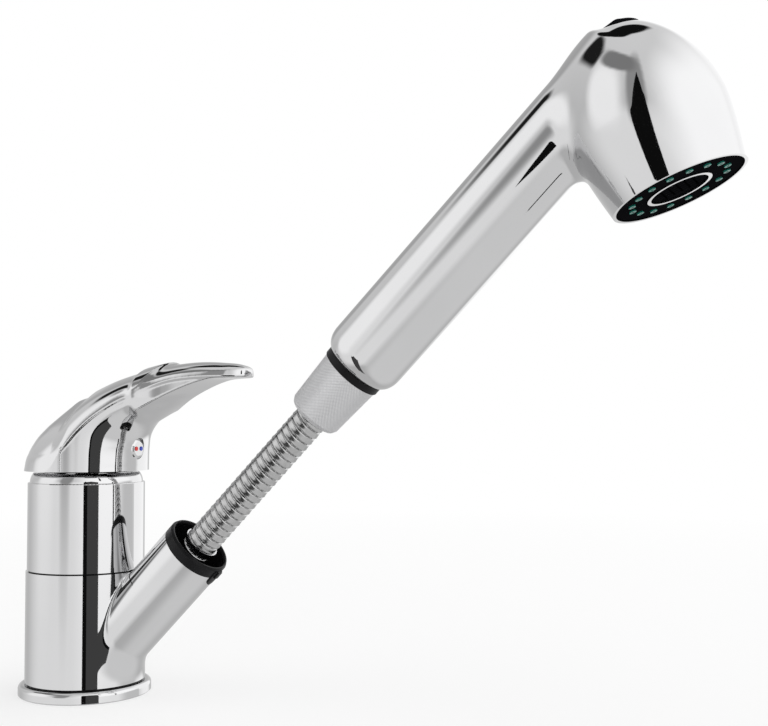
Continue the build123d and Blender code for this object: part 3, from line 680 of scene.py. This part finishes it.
def studio():
    """The studio all round, by direction. A panel's mask is 1 - smoothstep of
    sqrt((azimuth / radius)^2 + (elevation / radius)^2), and later panels lie over earlier ones."""
    world = bpy.data.worlds.new("studio")
    bpy.context.scene.world = world
    world.use_nodes = True
    tree = world.node_tree
    background = tree.nodes["Background"]
    spot = node(tree, "ShaderNodeTexCoord")
    parts = node(tree, "ShaderNodeSeparateXYZ")
    link(tree, spot.outputs["Generated"], parts.inputs["Vector"])

    def maths(operation, first, second=None, third=None):
        step = node(tree, "ShaderNodeMath", operation=operation)
        for index, value in enumerate((first, second, third)):
            if value is None:
                continue
            if isinstance(value, (int, float)):
                step.inputs[index].default_value = value
            else:
                link(tree, value, step.inputs[index])
        return step.outputs[0]

    azimuth = maths("MULTIPLY", maths("ARCTAN2", parts.outputs["Y"], parts.outputs["X"]), 180 / pi)
    elevation = maths("MULTIPLY", maths("ARCSINE", parts.outputs["Z"]), 180 / pi)
    tone = ranged(tree, parts.outputs["Z"], seen_tone(STUDIO_TONE), seen_tone(ZENITH_TONE), -0.2, 1.0)
    for az, el, wide, high, soft, brightness in PANELS:
        turned = maths("WRAP", maths("SUBTRACT", azimuth, az), 180.0, -180.0)
        across_share = maths("DIVIDE", turned, wide)
        up_share = maths("DIVIDE", maths("SUBTRACT", elevation, el), high)
        distance = maths("SQRT", maths("ADD", maths("POWER", maths("ABSOLUTE", across_share), 3.0),
                                       maths("POWER", maths("ABSOLUTE", up_share), 3.0)))
        edge = soft / (wide + high)
        mask = node(tree, "ShaderNodeMapRange", interpolation_type="SMOOTHSTEP")
        mask.inputs["From Min"].default_value = 1 - edge
        mask.inputs["From Max"].default_value = 1 + edge
        mask.inputs["To Min"].default_value = 1.0
        mask.inputs["To Max"].default_value = 0.0
        link(tree, distance, mask.inputs["Value"])
        mix = node(tree, "ShaderNodeMix", data_type="FLOAT")
        link(tree, mask.outputs["Result"], mix.inputs["Factor"])
        link(tree, tone, mix.inputs["A"])
        mix.inputs["B"].default_value = seen_tone(brightness)
        tone = mix.outputs["Result"]
    link(tree, tone, background.inputs["Color"])
    white = node(tree, "ShaderNodeBackground")
    white.inputs["Color"].default_value = (1, 1, 1, 1)
    paths = node(tree, "ShaderNodeLightPath")
    pick = node(tree, "ShaderNodeMixShader")
    link(tree, paths.outputs["Is Camera Ray"], pick.inputs["Fac"])
    link(tree, background.outputs["Background"], pick.inputs[1])
    link(tree, white.outputs["Background"], pick.inputs[2])
    link(tree, pick.outputs["Shader"], tree.nodes["World Output"].inputs["Surface"])


def make_card(name, near, far, low, high, taper, tone):
    """A black card that only bright metal sees: upright between two places, narrowing above low + taper."""
    material, tree, shader = new_material(name)
    glow = node(tree, "ShaderNodeEmission")
    glow.inputs["Color"].default_value = (tone, tone, tone, 1)
    link(tree, glow.outputs["Emission"], tree.nodes["Material Output"].inputs["Surface"])
    near = Vector((*near, 0))
    far = Vector((*far, 0))
    middle = (near + far) / 2
    rows = 12
    points = []
    for row in range(rows + 1):
        height = low + (high - low) * row / rows
        share = 1.0 if height < taper else max(1 - (height - taper) / (high - taper), 0.02)
        for end in (near, far):
            place = middle + (end - middle) * share
            points.append((place.x, place.y, height))
    faces = [(2 * r, 2 * r + 1, 2 * r + 3, 2 * r + 2) for r in range(rows)]
    card = mesh_piece(name, points, faces)
    card.data.materials.append(material)
    card.visible_camera = False
    card.visible_diffuse = False
    card.visible_shadow = False


make_floor()
studio()
make_card("body_gap", (78.5, -126), (91, -113.5), -30, 125, 124, 0.006)
make_card("body_gap_side", (80, -128), (130, -79), -30, 125, 124, 0.07)
make_card("head_gap", (224, -119), (266, -117), 168, 330, 236, 0.006)
make_card("stand_gap", (420, -14), (420, 3.5), -60, 147, 145, 0.03)

lamp_data = bpy.data.lights.new("overhead", "AREA")
lamp_data.shape = "DISK"
lamp_data.size = 2.4
lamp_data.energy = 6.0
lamp = bpy.data.objects.new("overhead", lamp_data)
lamp.location = (0.15, -0.1, 1.9)
lamp.visible_glossy = False
bpy.context.scene.collection.objects.link(lamp)

bpy.context.scene.view_settings.view_transform = "Standard"
